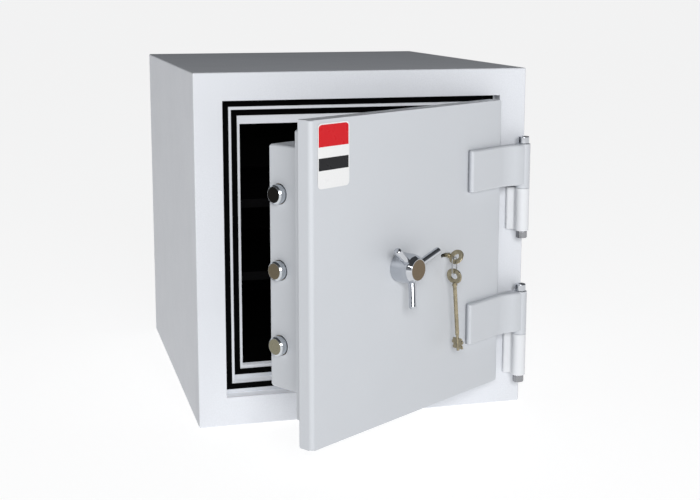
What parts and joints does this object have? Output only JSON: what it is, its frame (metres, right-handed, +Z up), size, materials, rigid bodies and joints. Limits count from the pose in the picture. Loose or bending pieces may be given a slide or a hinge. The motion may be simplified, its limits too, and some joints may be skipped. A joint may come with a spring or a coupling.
{
  "type": "free-standing key-locking safe",
  "caption": "Free-standing steel safe with a thick stepped door ajar, round locking bolts, a spoked handle, a double-bitted key, outside hinges and inner shelves.",
  "frame": {"origin": "centre of the casing's underside, on the floor", "axes": "+X to the right as seen from the front, +Y towards the back of the safe, +Z up; the door faces -Y and is stored ajar"},
  "size_m": [0.511, 0.8355, 0.528],
  "materials": {
    "body_paint": "satin",
    "door_paint": "satin",
    "interior_paint": "matte",
    "seal": "matte",
    "mineral_fill": "matte",
    "plug_plastic": "matte",
    "chrome": "polished",
    "nickel": "satin",
    "steel": "satin",
    "brass": "satin",
    "key_metal": "satin",
    "label": "gloss"
  },
  "bodies": {
    "cabinet": {"outer_casing": "body_paint", "body_fill": "mineral_fill", "door_frame": "body_paint", "bolt_pocket_walls": "body_paint", "bolt_pocket_back_left": "body_paint", "bolt_pocket_back_right": "body_paint", "inner_liner": "interior_paint", "outer_seal": "seal", "inner_seal": "seal", "anchor_hole_plug": "plug_plastic", "upper_shelf": "interior_paint", "lower_shelf": "interior_paint", "upper_shelf_rail_left": "interior_paint", "upper_shelf_rail_right": "interior_paint", "lower_shelf_rail_left": "interior_paint", "lower_shelf_rail_right": "interior_paint", "upper_hinge_bracket": "body_paint", "lower_hinge_bracket": "body_paint", "upper_hinge_pin": "chrome", "lower_hinge_pin": "chrome", "upper_hinge_pin_nut": "chrome", "lower_hinge_pin_nut": "chrome"},
    "door": {"upper_hinge_arm": "door_paint", "lower_hinge_arm": "door_paint", "door_slab": "door_paint", "door_fill": "mineral_fill", "step_plate": "door_paint", "boltwork_housing": "door_paint", "boltwork_cover": "door_paint", "cover_screw_1": "steel", "cover_screw_2": "steel", "cover_screw_3": "steel", "cover_screw_4": "steel", "rating_label": "label", "lower_bolt_bush": "brass", "middle_bolt_bush": "brass", "upper_bolt_bush": "brass", "lower_dog_bolt": "nickel", "middle_dog_bolt": "nickel", "upper_dog_bolt": "nickel", "upper_carriage_rail": "steel", "lower_carriage_rail": "steel", "key_guide_tube": "steel", "lock_case": "steel", "lock_cover": "steel"},
    "bolts": {"lower_locking_bolt": "nickel", "middle_locking_bolt": "nickel", "upper_locking_bolt": "nickel", "bolt_carriage": "steel"},
    "handle": {"handle_hub": "chrome", "handle_spindle": "steel", "spindle_pinion": "steel", "handle_spoke_1": "chrome", "handle_spoke_2": "chrome", "handle_spoke_3": "chrome"},
    "key": {"lock_key": "key_metal"},
    "lock_bolt": {"lock_bolt": "brass"},
    "levers": {"lever_pack": "brass"},
    "ring": {"key_ring": "steel"},
    "spare": {"spare_key": "key_metal"}
  },
  "joints": [
    {"name": "door_hinge", "type": "hinge", "parent": "cabinet", "child": "door", "pos_m": [0.2455, -0.309, 0.264], "axis": [0, 0, 1], "range_deg": [-33.3, 146.7]},
    {"name": "handle_turn", "type": "hinge", "parent": "door", "child": "handle", "pos_m": [0.00313, -0.44547, 0.266], "axis": [-0.549, 0.8358, 0], "range_deg": [0, 90]},
    {"name": "bolt_throw", "type": "slide", "parent": "door", "child": "bolts", "axis": [-0.8358, -0.549, 0], "range_m": [0, 0.036]},
    {"name": "key_turn", "type": "hinge", "parent": "door", "child": "key", "pos_m": [0.09047, -0.3881, 0.266], "axis": [-0.549, 0.8358, 0], "range_deg": [-125, 0]},
    {"name": "lock_bolt_slide", "type": "slide", "parent": "door", "child": "lock_bolt", "axis": [0, 0, -1], "range_m": [0, 0.012]},
    {"name": "lever_lift", "type": "hinge", "parent": "door", "child": "levers", "pos_m": [0.10886, -0.37602, 0.296], "axis": [-0.549, 0.8358, 0], "range_deg": [0, 5]},
    {"name": "ring_hang", "type": "hinge", "parent": "key", "child": "ring", "pos_m": [0.09982, -0.41068, 0.25945], "axis": [-0.549, 0.8358, 0], "range_deg": [0, 125]},
    {"name": "spare_swing", "type": "hinge", "parent": "ring", "child": "spare", "pos_m": [0.09981, -0.41069, 0.2417], "axis": [0.8358, 0.549, 0], "range_deg": [-60, 4]}
  ],
  "couplings": [
    {"joint": "bolt_throw", "follows": "handle_turn", "m_per_rad": 0.022918},
    {"joint": "key_turn", "follows": "lock_bolt_slide", "rad_per_m": -181.81},
    {"joint": "lever_lift", "follows": "lock_bolt_slide", "rad_per_m": 7.2722},
    {"joint": "ring_hang", "follows": "lock_bolt_slide", "rad_per_m": 181.81}
  ]
}
